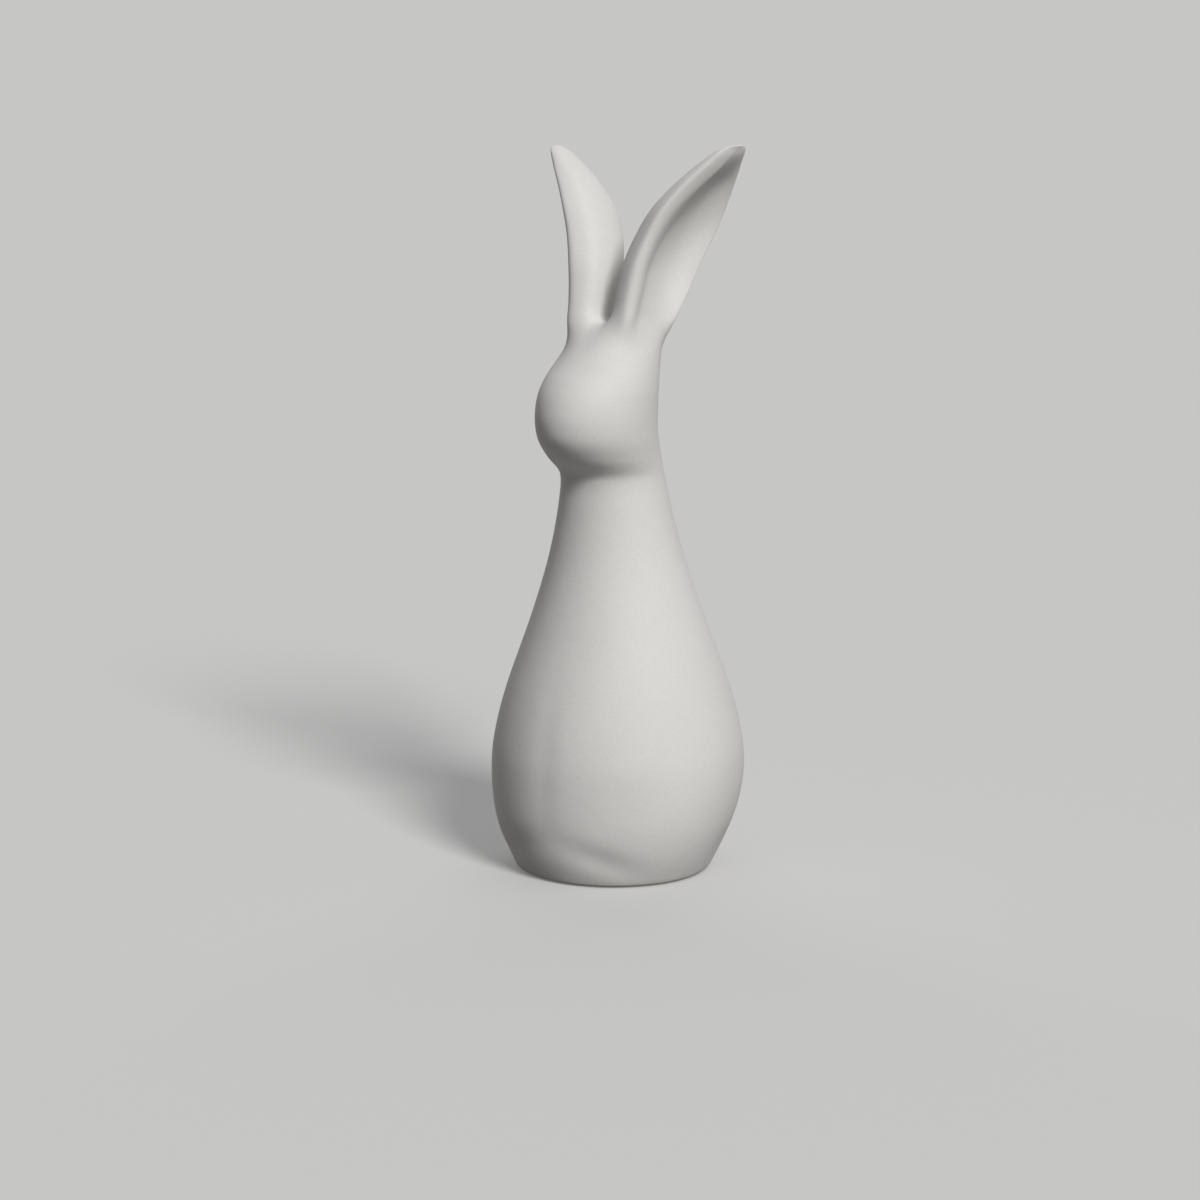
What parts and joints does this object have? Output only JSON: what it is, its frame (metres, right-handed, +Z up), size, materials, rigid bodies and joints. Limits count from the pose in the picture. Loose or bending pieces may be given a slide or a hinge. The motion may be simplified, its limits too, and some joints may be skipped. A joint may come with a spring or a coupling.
{
  "type": "rabbit figurine",
  "caption": "Matte white porcelain rabbit ornament: a smooth seated pear-shaped body, a downturned egg-shaped head and tall scooped ears in a V, standing on felt pads.",
  "frame": {"origin": "on the plane that it stands on, under the middle of its overall width and depth", "axes": "+Z up; the rabbit faces -Y, and its own left side is +X"},
  "size_m": [0.0712, 0.0736, 0.2],
  "materials": {
    "body_shell": "matte",
    "head_shell": "matte",
    "left_ear": "matte",
    "right_ear": "matte",
    "foot_pad_front": "matte",
    "foot_pad_left": "matte",
    "foot_pad_right": "matte"
  },
  "bodies": {
    "root": {"body_shell": "body_shell", "head_shell": "head_shell", "left_ear": "left_ear", "right_ear": "right_ear", "foot_pad_front": "foot_pad_front", "foot_pad_left": "foot_pad_left", "foot_pad_right": "foot_pad_right"}
  },
  "joints": []
}
